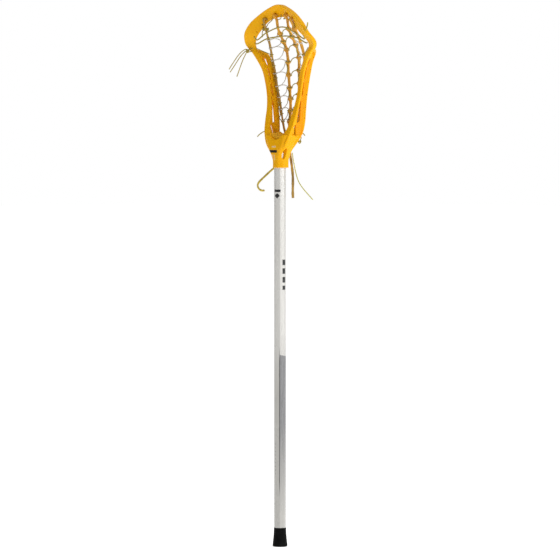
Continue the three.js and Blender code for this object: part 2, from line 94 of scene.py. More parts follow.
def make_world():
    """White behind the object. The sky's own light is dimmer, and dimmest from the left, so that the object's
    sides keep their tone."""
    world = bpy.data.worlds.new("studio")
    bpy.context.scene.world = world
    world.use_nodes = True
    nodes, links = world.node_tree.nodes, world.node_tree.links
    backdrop = nodes["Background"]
    sky = nodes.new("ShaderNodeBackground")
    backdrop.inputs["Strength"].default_value = BACKDROP_LIGHT
    place = nodes.new("ShaderNodeTexCoord")
    across = nodes.new("ShaderNodeVectorMath")
    across.operation = "DOT_PRODUCT"
    across.inputs[1].default_value = (math.sqrt(0.5), math.sqrt(0.5), 0)
    level = nodes.new("ShaderNodeMapRange")
    for end, reach, light in (("Min", -1, SKY_LIGHT[0]), ("Max", 1, SKY_LIGHT[1])):
        level.inputs[f"From {end}"].default_value = reach
        level.inputs[f"To {end}"].default_value = light
    links.new(place.outputs["Generated"], across.inputs[0])
    links.new(across.outputs["Value"], level.inputs["Value"])
    links.new(level.outputs["Result"], sky.inputs["Strength"])
    for shader in (backdrop, sky):
        shader.inputs["Color"].default_value = WHITE
    seen = nodes.new("ShaderNodeLightPath")
    either = nodes.new("ShaderNodeMixShader")
    links.new(seen.outputs["Is Camera Ray"], either.inputs[0])
    links.new(sky.outputs[0], either.inputs[1])
    links.new(backdrop.outputs[0], either.inputs[2])
    links.new(either.outputs[0], nodes["World Output"].inputs["Surface"])


def make_stage():
    mesh = bpy.data.meshes.new("floor")
    corners = [(x * FLOOR_SIZE, y * FLOOR_SIZE, 0) for x, y in ((-1, -1), (1, -1), (1, 1), (-1, 1))]
    mesh.from_pydata(corners, [], [(0, 1, 2, 3)])
    floor = bpy.data.objects.new("floor", mesh)
    floor.location.z = -FLOOR_DROP
    bpy.context.scene.collection.objects.link(floor)
    look = Look("floor", (0.8, 0.8, 0.8), 0.9, Specular_IOR_Level=0.1, Emission_Strength=FLOOR_GLOW)
    look.shader.inputs["Emission Color"].default_value = WHITE
    mesh.materials.append(look.material)
    make_world()
    area_light("key", *KEY_LIGHT)
    area_light("top", *TOP_LIGHT)


# Materials

PRINT_EDGE = 0.00015  # how soft the edge of a printed mark is


class Look:
    """A procedural material on a Principled shader, with texture coordinates in the object's own metres."""

    def __init__(self, name, color, roughness, metallic=0.0, **inputs):
        self.material = bpy.data.materials.new(name)
        self.material.use_nodes = True
        self.tree = self.material.node_tree
        self.shader = self.tree.nodes["Principled BSDF"]
        self.shader.inputs["Base Color"].default_value = (*color, 1)
        self.shader.inputs["Roughness"].default_value = roughness
        self.shader.inputs["Metallic"].default_value = metallic
        for key, value in inputs.items():
            self.shader.inputs[key.replace("_", " ")].default_value = value
        self.place = self.tree.nodes.new("ShaderNodeTexCoord").outputs["Object"]
        self.normal = None

    def node(self, kind, **settings):
        made = self.tree.nodes.new(kind)
        for key, value in settings.items():
            setattr(made, key, value)
        return made

    def join(self, source, target):
        if isinstance(source, bpy.types.NodeSocket):
            self.tree.links.new(source, target)
        else:
            target.default_value = source

    def math(self, operation, a, b=0.0, c=0.0, clamp=False):
        made = self.node("ShaderNodeMath", operation=operation, use_clamp=clamp)
        for value, socket in zip((a, b, c), made.inputs):
            self.join(value, socket)
        return made.outputs[0]

    def times(self, product, *values):
        for value in values:
            product = self.math("MULTIPLY", product, value)
        return product

    def axes(self):
        made = self.node("ShaderNodeSeparateXYZ")
        self.join(self.place, made.inputs[0])
        return made.outputs

    def noise(self, per_metre, detail, stretch=(1, 1, 1)):
        mapping = self.node("ShaderNodeMapping")
        mapping.inputs["Scale"].default_value = stretch
        self.join(self.place, mapping.inputs["Vector"])
        made = self.node("ShaderNodeTexNoise")
        made.inputs["Scale"].default_value = per_metre
        made.inputs["Detail"].default_value = detail
        self.join(mapping.outputs[0], made.inputs["Vector"])
        return made.outputs["Fac"]

    def ramp(self, value, stops):
        made = self.node("ShaderNodeValToRGB")
        while len(made.color_ramp.elements) < len(stops):
            made.color_ramp.elements.new(0.5)
        for element, (at, color) in zip(made.color_ramp.elements, stops):
            element.position = at
            element.color = (*color, 1)
        self.join(value, made.inputs[0])
        return made.outputs[0]

    def between(self, value, low, high, soft=PRINT_EDGE):
        """1 where value is from low to high, with soft edges."""
        rise = self.math("DIVIDE", self.math("SUBTRACT", value, low), soft, clamp=True)
        fall = self.math("DIVIDE", self.math("SUBTRACT", high, value), soft, clamp=True)
        return self.times(rise, fall)

    def patch(self, a, a_range, b, b_range, soft=PRINT_EDGE):
        """1 where a and b are both in their ranges."""
        return self.times(self.between(a, *a_range, soft), self.between(b, *b_range, soft))

    def mix(self, share, a, b):
        """Colour a where share is 0, and b where it is 1."""
        made = self.node("ShaderNodeMix", data_type="RGBA")
        colors, result = made.inputs[6:8], made.outputs[2]  # the sockets of the mix's colour form
        self.join(share, made.inputs["Factor"])
        for value, socket in zip((a, b), colors):
            self.join((*value, 1) if isinstance(value, tuple) else value, socket)
        return result

    def color(self, value):
        self.join(value, self.shader.inputs["Base Color"])

    def rough(self, value, low, high):
        made = self.node("ShaderNodeMapRange")
        made.inputs["To Min"].default_value = low
        made.inputs["To Max"].default_value = high
        self.join(value, made.inputs["Value"])
        self.join(made.outputs[0], self.shader.inputs["Roughness"])

    def bump(self, height, strength, distance):
        made = self.node("ShaderNodeBump")
        made.inputs["Strength"].default_value = strength
        made.inputs["Distance"].default_value = distance
        self.join(height, made.inputs["Height"])
        if self.normal is not None:
            self.join(self.normal, made.inputs["Normal"])
        self.normal = made.outputs[0]
        self.join(self.normal, self.shader.inputs["Normal"])


# The throat's printed marks, as ranges of x and z: a dark label, with pale marks above it and below it
LABEL = ((-0.0155, 0.0075), (0.7942, 0.8000))
PALE_MARKS = (
    ((-0.0075, 0.0045), (0.8045, 0.8085)),
    ((-0.0080, -0.0054), (0.779, 0.791)),
    ((-0.0026, 0.0000), (0.779, 0.791)),
)
FRONT_Y = -0.010  # the marks are printed in front of this y
RAIL_CURVE = (0.961, -0.0953, 0.03539)  # the rail's x is close to this parabola of its height
# Where the painted shade of the channel lies: how far inward of the rail, and its y and h
CHANNEL_SHADE_INWARD, CHANNEL_SHADE_Y, CHANNEL_SHADE_H = (-0.0030, 0.0012), (0.008, 0.0295), (0.058, 0.232)


def nylon_look():
    """Moulded nylon, with painted shade: a deeper orange in the channel along the outside of each sidewall,
    where that channel lies in shade.
    """
    look = Look("head_nylon", (0.8, 0.4, 0.003), 0.34, Subsurface_Weight=0.08, Subsurface_Scale=0.003,
                Specular_IOR_Level=0.1)
    look.shader.inputs["Subsurface Radius"].default_value = (1.0, 0.45, 0.08)
    base = look.ramp(look.noise(18, 3), [(0.3, (0.80, 0.375, 0.0015)), (0.7, (0.85, 0.42, 0.002))])
    x, y, z = look.axes()
    front = look.math("LESS_THAN", y, FRONT_Y)
    label = look.times(look.patch(x, LABEL[0], z, LABEL[1], 0.0004), front)
    base = look.mix(label, base, (0.012, 0.010, 0.008))
    for x_range, z_range in PALE_MARKS:
        mark = look.times(look.patch(x, x_range, z, z_range, 0.0008), front, 0.7)
        base = look.mix(mark, base, (0.72, 0.60, 0.42))
    h = look.math("SUBTRACT", z, SOCKET_Z * MM)
    curve, slope, start = RAIL_CURVE
    rail_x = look.math("ADD", look.times(h, h, curve), look.math("MULTIPLY_ADD", h, slope, start))
    inward = look.math("SUBTRACT", rail_x, look.math("ABSOLUTE", x))
    painted_shade = look.between(inward, *CHANNEL_SHADE_INWARD, 0.0006)
    for value, span, soft in ((y, CHANNEL_SHADE_Y, 0.002), (h, CHANNEL_SHADE_H, 0.012)):
        painted_shade = look.times(painted_shade, look.between(value, *span, soft))
    # Painted shade: the colour is mixed towards a deep orange in the channel, standing in for the shade that
    # falls there.
    look.color(look.mix(look.times(painted_shade, 0.85), base, (0.80, 0.27, 0.0005)))
    look.rough(look.noise(240, 4), 0.28, 0.44)
    look.bump(look.noise(2600, 2), 0.12, 0.0001)
    look.bump(look.noise(45, 2), 0.25, 0.0004)
    return look.material


# The shaft's printed marks, as ranges of c and z: c = x + y runs round the two front facets
SHAFT_BARS = (
    ((-0.0158, 0.0016), (0.7152, 0.7204)),
    ((0.0070, 0.0150), (0.568, 0.5795)),
    ((0.0070, 0.0150), (0.5505, 0.562)),
    ((0.0070, 0.0150), (0.533, 0.5445)),
    ((0.0070, 0.0150), (0.5185, 0.527)),
)
DIAMOND_Z, DIAMOND_REACH, DIAMOND_SQUEEZE, DIAMOND_SHIFT = 0.7078, 0.0055, 0.72, 0.0058
TICK_COUNT, TICK_C, TICK_Z, TICK_STEP, TICK_HEIGHT = 9, (-0.0132, -0.0118), 0.146, 0.0075, 0.003
PANEL_C, PANEL_TOP, PANEL_SLANT = (-0.0008, 0.03), 0.3875, 0.15
PANEL_FADE = (0.06, 0.19)  # the panel shows from this height on, and fully after this length
BORDER_C, BORDER_Z = (-0.0027, -0.0004), (0.1, 0.405)
SHAFT_LOW_SHADE = (0.44, 0.14)  # painted shade: the paint's colour is darker below this height, and fully so after this length


def paint_look():
    """White pearl paint with a grey panel on the lower shaft, plain dark marks, and painted shade that
    darkens the paint lower down.
    """
    look = Look("shaft_paint", (0.64, 0.63, 0.61), 0.3, 0.1, Specular_IOR_Level=0.4)
    x, y, z = look.axes()
    c = look.math("ADD", x, y)
    front = look.math("GREATER_THAN", look.math("SUBTRACT", x, y), 0.0)
    cloud = look.noise(9, 3, (1, 1, 0.25))
    white = look.ramp(cloud, [(0.3, (0.575, 0.565, 0.535)), (0.7, (0.615, 0.605, 0.58))])
    # Painted shade on the lower shaft: the paint is mixed darker below a height.
    low_shade = look.math("DIVIDE", look.math("SUBTRACT", SHAFT_LOW_SHADE[0], z), SHAFT_LOW_SHADE[1], clamp=True)
    white = look.mix(look.times(low_shade, 0.24), white, (0.03, 0.02, 0.0))
    slant = look.math("MULTIPLY_ADD", c, PANEL_SLANT, z)
    fade = look.math("DIVIDE", look.math("SUBTRACT", z, PANEL_FADE[0]), PANEL_FADE[1], clamp=True)
    below = look.math("LESS_THAN", slant, PANEL_TOP)
    panel = look.times(look.between(c, *PANEL_C, 0.0004), below, fade, front)
    grain = look.noise(900, 2, (1, 1, 0.02))
    grey = look.ramp(grain, [(0.3, (0.17, 0.17, 0.175)), (0.7, (0.25, 0.25, 0.255))])
    base = look.mix(panel, white, grey)
    marks = look.times(look.between(c, *BORDER_C), look.between(z, *BORDER_Z, 0.03), 0.8)
    for c_range, z_range in SHAFT_BARS:
        marks = look.math("MAXIMUM", marks, look.patch(c, c_range, z, z_range))
    for i in range(TICK_COUNT):
        low = TICK_Z + TICK_STEP * i
        tick = look.patch(c, TICK_C, z, (low, low + TICK_HEIGHT))
        marks = look.math("MAXIMUM", marks, look.times(tick, 0.6))
    across = look.math("ABSOLUTE", look.math("MULTIPLY_ADD", c, DIAMOND_SQUEEZE, DIAMOND_SHIFT))
    reach = look.math("ADD", across, look.math("ABSOLUTE", look.math("SUBTRACT", z, DIAMOND_Z)))
    marks = look.math("MAXIMUM", marks, look.between(reach, -1, DIAMOND_REACH))
    look.color(look.mix(look.times(marks, front), base, (0.012, 0.012, 0.013)))
    look.rough(look.noise(60, 4, (1, 1, 0.3)), 0.2, 0.36)
    look.bump(look.noise(700, 3), 0.05, 0.0001)
    return look.material


def rubber_look():
    look = Look("cap_rubber", (0.006, 0.006, 0.006), 0.7, Specular_IOR_Level=0.07)
    look.color(look.ramp(look.noise(120, 4), [(0.35, (0.001, 0.001, 0.001)), (0.75, (0.005, 0.005, 0.005))]))
    look.rough(look.noise(300, 3), 0.5, 0.78)
    look.bump(look.noise(1800, 3), 0.3, 0.0002)
    return look.material


def leather_look(name, dark, light):
    look = Look(name, light, 0.6)
    look.color(look.ramp(look.noise(140, 5, (1, 1, 0.45)), [(0.3, dark), (0.68, light)]))
    look.rough(look.noise(400, 3), 0.45, 0.75)
    look.bump(look.noise(1500, 5), 0.5, 0.0003)
    look.bump(look.noise(260, 3), 0.4, 0.0005)
    return look.material


def lace_look(name, dark, light):
    look = Look(name, light, 0.8, Sheen_Weight=0.3, Sheen_Roughness=0.5)
    look.color(look.ramp(look.noise(900, 3), [(0.3, dark), (0.7, light)]))
    look.rough(look.noise(1200, 2), 0.65, 0.9)
    look.bump(look.noise(3500, 2), 0.6, 0.0002)
    return look.material


# The foam has the head's orange, painted a little lighter as painted light, because the pad lies in shade.
def foam_look():
    look = Look("pad_foam", (0.75, 0.36, 0.01), 0.85)
    look.color(look.ramp(look.noise(700, 4), [(0.3, (0.82, 0.41, 0.003)), (0.75, (0.88, 0.46, 0.004))]))
    look.bump(look.noise(1400, 4), 0.8, 0.0006)
    return look.material


def steel_look():
    look = Look("screw_steel", (0.5, 0.5, 0.49), 0.3, 1.0)
    look.rough(look.noise(1500, 3, (1, 1, 0.2)), 0.22, 0.42)
    look.bump(look.noise(2500, 2), 0.1, 0.0001)
    return look.material


# Meshes

def smooth_line(points, steps):
    """steps + 1 points on the centripetal Catmull-Rom curve through the given points."""
    p = np.array(points, float)
    spans = len(p) - 1
    p = np.vstack([2 * p[0] - p[1], p, 2 * p[-1] - p[-2]])
    out = []
    for i in range(steps + 1):
        u = i / steps * spans
        k = min(int(u), spans - 1)
        q = p[k : k + 4]
        gaps = [max(np.linalg.norm(b - a) ** 0.5, 1e-4) for a, b in zip(q, q[1:])]
        knot = np.concatenate([[0], np.cumsum(gaps)])
        t = knot[1] + (u - k) * (knot[2] - knot[1])
        level = q
        for reach in (1, 2):
            level = [level[j] + (level[j + 1] - level[j]) * (t - knot[j]) / (knot[j + reach] - knot[j])
                     for j in range(4 - reach)]
        out.append(level[0] + (level[1] - level[0]) * (t - knot[1]) / (knot[2] - knot[1]))
    return np.array(out)


def evenly(line, step):
    """The line again, with points about step apart."""
    along = np.concatenate([[0], np.cumsum(np.linalg.norm(np.diff(line, axis=0), axis=1))])
    at = np.linspace(0, along[-1], max(3, int(round(along[-1] / step)) + 1))
    return np.stack([np.interp(at, along, line[:, k]) for k in range(3)], axis=1)


def frames_of(line, hint=(1.0, 0.0, 0.0)):
    """Side and depth directions at each point, turning as little as possible along the line."""
    tangent = np.gradient(line, axis=0)
    tangent /= np.linalg.norm(tangent, axis=1)[:, None]
    side = np.array(hint, float)
    sides = []
    for t in tangent:
        side = side - t * side.dot(t)
        side /= np.linalg.norm(side)
        sides.append(side)
    sides = np.array(sides)
    return sides, np.cross(tangent, sides)


def ring_faces(rings, count, first=0):
    """Quads between rings of the same count, and the two end faces."""
    faces = []
    for r in range(rings - 1):
        for i in range(count):
            a, b = first + r * count + i, first + r * count + (i + 1) % count
            faces.append((a, b, b + count, a + count))
    faces.append(tuple(first + i for i in reversed(range(count))))
    faces.append(tuple(first + (rings - 1) * count + i for i in range(count)))
    return faces


def make_object(name, points, faces):
    mesh = bpy.data.meshes.new(name)
    mesh.from_pydata((np.array(points) * MM).tolist(), [], faces)
    mesh.validate()
    made = bpy.data.objects.new(name, mesh)
    bpy.context.scene.collection.objects.link(made)
    return made


def loft(name, rings):
    """A closed skin over rings of the same count of points."""
    return outward(make_object(name, np.concatenate(rings), ring_faces(len(rings), len(rings[0]))))


def outward(made):
    """Turns every face of closed shells outwards."""
    shell = bmesh.new()
    shell.from_mesh(made.data)
    bmesh.ops.recalc_face_normals(shell, faces=shell.faces)
    shell.to_mesh(made.data)
    shell.free()
    return made


def tube_rings(line, radius, sides, hint=(1.0, 0.0, 0.0)):
    """Round rings along a line, with one radius or one for each point."""
    side, depth = frames_of(line, hint)
    angle = np.arange(sides) * 2 * math.pi / sides
    radius = np.broadcast_to(radius, len(line))
    return (line[:, None, :]
            + radius[:, None, None] * np.cos(angle)[None, :, None] * side[:, None, :]
            + radius[:, None, None] * np.sin(angle)[None, :, None] * depth[:, None, :])


STRANDS, STRAND_SIDES, TWIST_PITCH = 3, 6, 4.6
STRAND_SQUEEZE = 1.12  # the strands are pressed together, so each is thicker than its share


def rope(name, lines, radius, step=0.6):
    """A cord of twisted strands along each line, as one mesh of closed tubes."""
    inner = radius / (1 + math.sin(math.pi / STRANDS))
    thick = (radius - inner) * STRAND_SQUEEZE
    points, faces, first = [], [], 0
    for line in lines:
        line = evenly(line, step)
        side, depth = frames_of(line)
        along = np.arange(len(line)) * step
        for strand in range(STRANDS):
            turn = 2 * math.pi * (along / TWIST_PITCH + strand / STRANDS)
            centre = line + inner * (np.cos(turn)[:, None] * side + np.sin(turn)[:, None] * depth)
            points.append(tube_rings(centre, thick, STRAND_SIDES).reshape(-1, 3))
            faces += ring_faces(len(line), STRAND_SIDES, first)
            first += len(line) * STRAND_SIDES
    return outward(make_object(name, np.concatenate(points), faces))


def rounded(corners, radius, count=3):
    """A polygon's corners rounded off: each becomes count + 1 points on a short curve."""
    out = []
    corners = [np.array(c, float) for c in corners]
    for i, corner in enumerate(corners):
        before, after = corners[i - 1], corners[(i + 1) % len(corners)]
        starts = []
        for other in (before, after):
            away = other - corner
            starts.append(corner + away * min(0.45, radius / max(np.linalg.norm(away), 1e-6)))
        for k in range(count + 1):
            t = k / count
            out.append((1 - t) ** 2 * starts[0] + 2 * t * (1 - t) * corner + t * t * starts[1])
    return np.array(out)


SQUARE = ((1, 1), (-1, 1), (-1, -1), (1, -1))
ROD_HINT = (0.3, 0.5, 0.8)  # a direction that no rod runs along


def lift(points, side=1):
    """Head points, which are x, y and h, in the stick's frame. They are mirrored when side is -1."""
    return np.array(points, float) * (side, 1, 1) + (0, 0, SOCKET_Z)


def apply_modifiers(made):
    graph = bpy.context.evaluated_depsgraph_get()
    mesh = bpy.data.meshes.new_from_object(made.evaluated_get(graph))
    made.modifiers.clear()
    made.data = mesh


def combine(base, other, operation="DIFFERENCE"):
    """Cuts other from base, or joins it to base with UNION; other is used up."""
    step = base.modifiers.new("step", "BOOLEAN")
    step.object, step.operation, step.solver = other, operation, "MANIFOLD"
    apply_modifiers(base)
    bpy.data.objects.remove(other)


def finish_piece(made, body, look, node):
    """Gives a piece its material and its body, and hides the model part of the node that it stands for."""
    made.data.materials.clear()
    made.data.materials.append(look)
    polygons = made.data.polygons
    polygons.foreach_set("material_index", [0] * len(polygons))
    polygons.foreach_set("use_smooth", [True] * len(polygons))
    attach(made, body)
    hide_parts(node)


# Head frame

# Half of the face band: its outer and inner edge (x, y, h), and how far each edge goes back from the face
BAND = (
    ((0, -10, 328), (0, 12, 303), (16, 5)),
    ((24, -11, 321), (18, 9, 302), (15, 5)),
    ((49, -13, 308), (34, 1, 295), (14, 5)),
    ((73, -16.5, 290), (52, -4, 277), (13, 5)),
    ((87.5, -16, 272), (67, -2, 263), (12, 5)),
    ((95.8, -8, 258), (74.5, 2, 253), (12, 5.5)),
    ((97, -3, 249), (76.5, 4, 246), (11, 6)),
    ((92, 1, 240), (74, 4.5, 239), (10, 6.5)),
    ((83, 2.5, 231.5), (67, 4.5, 231), (8.5, 6.5)),
    ((71.5, 5, 216), (58, 6, 215), (7, 6)),
    ((60.5, 7.8, 197), (49, 8, 196), (6, 5)),
    ((53, 9.3, 171), (42, 9.5, 171), (5.5, 5)),
    ((48, 9, 145), (37, 9, 145), (5.5, 5)),
    ((44.5, 5.3, 121), (32.5, 5.5, 121), (5.5, 5)),
    ((42.5, -1, 97), (28, -1, 97), (6, 5)),
    ((38, -8, 73), (20, -8, 72), (8, 7)),
    ((29, -12.5, 49), (12, -12.5, 50), (9, 8)),
    ((17.5, -11.5, 30), (6, -11.5, 31), (8, 7)),
)
BAND_ROUNDING, RAIL_ROUNDING, SLOT_ROUNDING, THROAT_ROUNDING, STRAP_ROUNDING = 2.6, 2.0, 2.0, 4, 0.9
BAND_SPREAD = 12.0  # the spacing of the rows while their depths are smoothed
RAIL_WIDTH, RAIL_DEPTH = 7.5, 6
RAIL_PATH = (
    (87, 3, 239), (79, 17, 235), (70, 27, 230.5), (64, 30.5, 225), (58, 31, 214), (52, 31, 193),
    (46.3, 31, 169), (41.5, 31, 143), (38.2, 31, 117), (35.6, 31, 92), (32.5, 27.5, 71), (27, 17.5, 52),
    (18, 11.8, 37), (13, 9.5, 24), (9.5, 7.5, 10),
)
WEB = 5
WEB_INSET = (RAIL_WIDTH - WEB) / 2  # the sidewall is flush with the rail's inner face
WEB_FRONT = (
    (76, 7, 235), (63, 9, 215), (54, 11.5, 197), (47, 13, 171), (42.5, 12.5, 145), (39, 9, 121),
    (36.5, 3, 97), (32, -3, 74), (26, -8, 54), (17, -9, 32),
)
WEB_BACK = (
    (67, 29, 231), (58, 31, 214), (53, 31, 197), (46.6, 31, 171), (41.8, 31, 145), (38.6, 31, 121),
    (36, 31, 97), (32.6, 28, 73), (26, 17, 52), (16, 8, 32),
)
SLOTS = (  # openings through both sidewalls: corners in y and h
    ((16.5, 221), (21.5, 220), (22.5, 208), (18, 205)),
    ((16, 201), (19.5, 202), (21, 181), (17.5, 177)),
    ((17, 171), (20, 172), (21.5, 147), (18, 143)),
    ((15.5, 134), (18.5, 136), (19.5, 93), (11.5, 90)),
    ((4.5, 86), (9, 87), (13, 66), (9.5, 62)),
)
THROAT = (  # h, half width, front, back, corner cut
    (0, 15.8, -13.8, 17.8, 9.2), (13, 15.8, -13.8, 17.8, 9.2), (21, 17, -14.8, 18, 9),
    (30, 20, -15.8, 18, 8.5), (38, 24, -16.5, 18.3, 8), (46, 27.5, -16, 19.8, 8), (54, 30.5, -15, 22.5, 8),
    (66, 35, -13.6, 29, 8),
)
STOP_CENTRE = 100
STOP_FACE, STOP_BACK = (-20, 28.4, 45), (36, 31.8, 33.5)  # y, half width, drop of the ball stop's ellipse
SOCKET_BORE = (22.8, -5, 52.8)  # width across the flats, and the cut's lower and upper end
SCREW_H = 24
SCREW_HOLE, SHANK_Y = 2.3, (7, 19)
SINK_Y, SINK_RADII = (15.4, 18.6), (SCREW_HOLE, 4.9)
WINDOW_CENTRE, WINDOW_RADII = (19, -5.5, 28), (12, 4.2, 12)
SCOOP_HOLES = ((5, 10.5, 308), (24, 6, 304), (46, -4.5, 288.5), (61, -5, 274), (70, -3, 264.5))
THONG_HOLES = ((15, 2, 308), (37, -3, 299))
RAIL_HOLES = (222, 197, 172, 147, 122, 100)
SCOOP_HOLE, THONG_HOLE, RAIL_HOLE = 1.5, 2.5, 1.2  # the holes' radii
VOXEL, QUICK_VOXEL = 0.7, 1.2


def octagon(flats, z, radius=0.0, count=3):
    """A ring of the shaft's octagon, whose corners lie on the axes and on the diagonals."""
    reach = flats / 2 / math.cos(math.pi / 8)
    corners = [(reach * math.cos(i * math.pi / 4), reach * math.sin(i * math.pi / 4), z) for i in range(8)]
    return rounded(corners, radius, count) if radius else np.array(corners)


def band_part():
    """The face of the head, from the left side of the throat round the scoop to the right side."""
    half = np.array([(*o, *n, *d) for o, n, d in BAND], float)
    other = half[1:][::-1] * (-1, 1, 1, -1, 1, 1, 1, 1)
    rows = np.vstack([other, half])
    steps = (len(rows) - 1) * 7
    outer, inner = smooth_line(rows[:, :3], steps), smooth_line(rows[:, 3:6], steps)
    spread = np.arange(len(rows)) * BAND_SPREAD
    deep = smooth_line(np.column_stack([rows[:, 6:8], spread]), steps)
    rings = []
    for o, n, d in zip(outer, inner, deep):
        back_o, back_n = o + (0, d[0], 0), n + (0, d[1], 0)
        rings.append(lift(rounded([o, back_o, back_n, n], BAND_ROUNDING, 4)))
    return loft("band", rings)


def rail_part(side):
    """The string rail behind the sidewall: a rounded bar along its path."""
    line = evenly(smooth_line(lift(RAIL_PATH, side), 160), 2.0)
    wide, deep = frames_of(line)
    rings = []
    for place, u, v in zip(line, wide, deep):
        corners = [place + u * a * RAIL_WIDTH / 2 + v * b * RAIL_DEPTH / 2 for a, b in SQUARE]
        rings.append(rounded(corners, RAIL_ROUNDING))
    return loft("rail", rings)


def web_part(side):
    """The sidewall between the face band and the rail."""
    steps = 80
    inset = np.array((side * WEB_INSET, 0, 0))
    front = smooth_line(lift(WEB_FRONT, side), steps) - inset
    back = smooth_line(lift(WEB_BACK, side), steps) - inset
    half = np.array((WEB / 2, 0, 0))
    return loft("web", [np.array([f - half, f + half, b + half, b - half]) for f, b in zip(front, back)])


def throat_part():
    """The socket and the throat: an octagon that widens to meet the sidewalls."""
    rings = []
    for h, half, front, back, cut in smooth_line(THROAT, 60):
        corners = [(half, front + cut), (half, back - cut), (half - cut, back), (-half + cut, back),
                   (-half, back - cut), (-half, front + cut), (-half + cut, front), (half - cut, front)]
        rings.append(lift(rounded([(x, y, h) for x, y in corners], THROAT_ROUNDING, 4)))
    return loft("throat", rings)


def stop_part():
    """What is cut away above the ball stop."""
    rings, sides = [], 96
    angle = np.arange(sides) * 2 * math.pi / sides
    for y, half, drop in (STOP_FACE, STOP_BACK):
        x, h = half * np.sin(angle), STOP_CENTRE - drop * np.cos(angle)
        rings.append(lift(np.column_stack([x, np.full(sides, y), h])))
    return loft("stop", rings)


def slot_part(corners):
    """An opening cut through both sidewalls at once."""
    outline = rounded([(y, h, 0) for y, h in corners], SLOT_ROUNDING, 5)
    past_sides = 120
    return loft("slot", [lift(np.column_stack([np.full(len(outline), x), outline[:, 0], outline[:, 1]]))
                         for x in (-past_sides, past_sides)])


def rod(name, start, end, radius, sides=24):
    """A rod between two head points, with one radius or one for each end."""
    return loft(name, list(tube_rings(lift([start, end]), radius, sides, ROD_HINT)))


def make_head(look):
    made = band_part()
    combine(made, throat_part(), "UNION")
    for side in (-1, 1):
        combine(made, rail_part(side), "UNION")
        combine(made, web_part(side), "UNION")
    for corners in SLOTS:
        combine(made, slot_part(corners))
    combine(made, stop_part())
    bore_flats, *bore_ends = SOCKET_BORE
    combine(made, loft("bore", [octagon(bore_flats, SOCKET_Z + h) for h in bore_ends]))
    combine(made, rod("sink", *[(0, y, SCREW_H) for y in SINK_Y], SINK_RADII))
    combine(made, rod("shank", *[(0, y, SCREW_H) for y in SHANK_Y], SCREW_HOLE))
    for side in (-1, 1):
        combine(made, window_part(side))
    for part in string_holes():
        combine(made, part)
    remesh = made.modifiers.new("remesh", "REMESH")
    remesh.mode, remesh.voxel_size = "VOXEL", VOXEL * MM
    soften = made.modifiers.new("soften", "SMOOTH")
    soften.factor, soften.iterations = 0.5, 6
    apply_modifiers(made)
    made.name = "head_moulding"
    finish_piece(made, BODY, look, "head_frame")


def window_part(side):
    """The scooped window in the socket's flank, through which the shaft shows."""
    rings, sides, steps = [], 32, 20
    angle = np.arange(sides) * 2 * math.pi / sides
    for i in range(1, steps):
        t = math.pi * i / steps
        ring = np.column_stack([math.sin(t) * np.cos(angle), math.sin(t) * np.sin(angle),
                                np.full(sides, -math.cos(t))])
        rings.append(lift(ring * WINDOW_RADII + WINDOW_CENTRE, side))
    return loft("window", rings)


def string_holes():
    """Holes for the laces: along the scoop's inner edge and along both string rails."""
    parts = []
    for side in (-1, 1):
        for x, y, h in SCOOP_HOLES:
            parts.append(rod("hole", (side * x, y - 6, h), (side * x, y + 9, h), SCOOP_HOLE, 16))
        for x, y, h in THONG_HOLES:
            parts.append(rod("hole", (side * x, y - 8, h + 2), (side * x, y + 12, h - 1), THONG_HOLE, 16))
        for h in RAIL_HOLES:
            x, y = at_height(RAIL_PATH, h)
            parts.append(rod("hole", (side * (x - 6), y, h), (side * (x + 6), y, h), RAIL_HOLE, 16))
    return parts


def at_height(rows, h):
    """x and y of a path at a height; the path runs downwards."""
    rows = np.array(rows, float)
    return np.interp(-h, -rows[:, 2], rows[:, 0]), np.interp(-h, -rows[:, 2], rows[:, 1])


# Pocket

OUTER_THONG = (
    (40.9, -1.5, 282), (42, 3.6, 273), (43.2, 8.8, 263), (44.5, 15.5, 248), (45.5, 23.5, 222),
    (43.5, 27, 202), (37, 28, 169), (31, 30, 137), (25, 30.5, 105), (20.5, 32, 80), (17.5, 33, 68),
    (13.5, 28.5, 55), (10.5, 23.5, 43),
)
INNER_THONG = (
    (15, 7, 291), (15, 10, 279), (15.2, 20, 262), (15.4, 32, 243), (15.6, 38, 222), (15, 39.5, 190),
    (13.5, 41, 161), (12, 42, 138), (11.2, 41, 112), (9.5, 36, 84), (8, 33, 68), (6, 28.5, 55),
    (4.6, 23.5, 43),
)
# Above those routes each thong comes from behind the scoop, through its hole and down over the edge's front
OUTER_TOP = (
    (37, 3, 297.8), (37, -1, 299), (37.2, -6.2, 300), (37.8, -8.8, 298.6), (38.6, -8, 295.2),
    (39.6, -5.4, 290.4), (40.5, -2.8, 286),
)
INNER_TOP = (
    (15, 10, 306.8), (15, 6, 307.5), (15, 1.6, 308), (15, -2.2, 307.4), (15, -1.6, 304.6), (15, 1.2, 302.4),
    (15, 4.4, 299.6), (15, 6.3, 296),
)
THONG_HALF_WIDTH, THONG_HALF_DEPTH = 2.9, 1.5
LACE_RADIUS = 0.9
LACE_STAND_OFF = 0.85  # how far a wound lace's centre stands off the thong, as a share of its radius
KNOT_ROWS = (270, 254, 238, 213, 187, 161, 139, 115, 92)
SWING = 9  # how much higher a row meets the right inner thong than the left one
HOOK_RISE = 6.5  # how far above a row the laces of a side lane hook each other
ARC_HALF, ARC_RISE = 9, 3.6  # half the width and the crown of an arc between the inner thongs
TOP_KNOT = 279  # where an outer thong is tied below the scoop
KNOT_SWELL, KNOT_REACH = 3.1, 3.3  # how far a thong bulges at a knot, and over what height


def swell(heights, knots):
    """How much wider a thong is at each height because of the knots tied in it."""
    return sum(KNOT_SWELL * np.exp(-(((heights - knot) / KNOT_REACH) ** 2)) for knot in knots)


